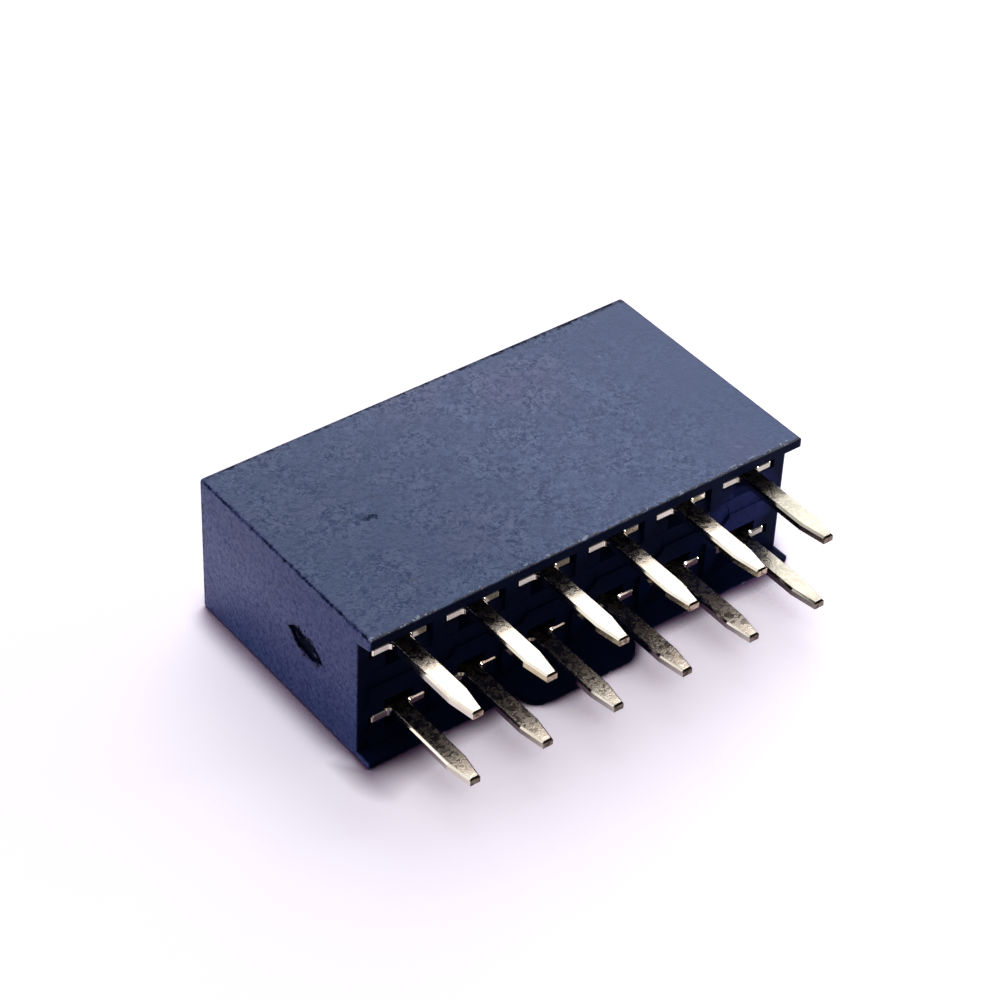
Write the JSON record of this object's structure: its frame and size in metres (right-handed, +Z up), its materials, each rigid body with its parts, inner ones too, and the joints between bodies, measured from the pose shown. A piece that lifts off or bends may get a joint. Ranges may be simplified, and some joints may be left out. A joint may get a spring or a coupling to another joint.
{
  "type": "socket header",
  "caption": "Straight through-hole socket header: a black moulded block with a double row of flat stamped fork contacts, lying on its long side.",
  "frame": {"origin": "middle of the whole part's outline, on the surface that it lies on", "axes": "+X along the rows, +Y out of the mating side, +Z up from the long side that it lies on; the solder tails point to -Y"},
  "size_m": [0.0156, 0.0116, 0.0049],
  "materials": {
    "housing_plastic": "fine matt moulded finish, blue-black",
    "contact_metal": "thin pale bright plating on stamped copper alloy"
  },
  "bodies": {
    "root": {"housing": "housing_plastic", "contact_upper_1": "contact_metal", "contact_upper_2": "contact_metal", "contact_upper_3": "contact_metal", "contact_upper_4": "contact_metal", "contact_upper_5": "contact_metal", "contact_upper_6": "contact_metal", "contact_lower_1": "contact_metal", "contact_lower_2": "contact_metal", "contact_lower_3": "contact_metal", "contact_lower_4": "contact_metal", "contact_lower_5": "contact_metal", "contact_lower_6": "contact_metal"}
  },
  "joints": []
}
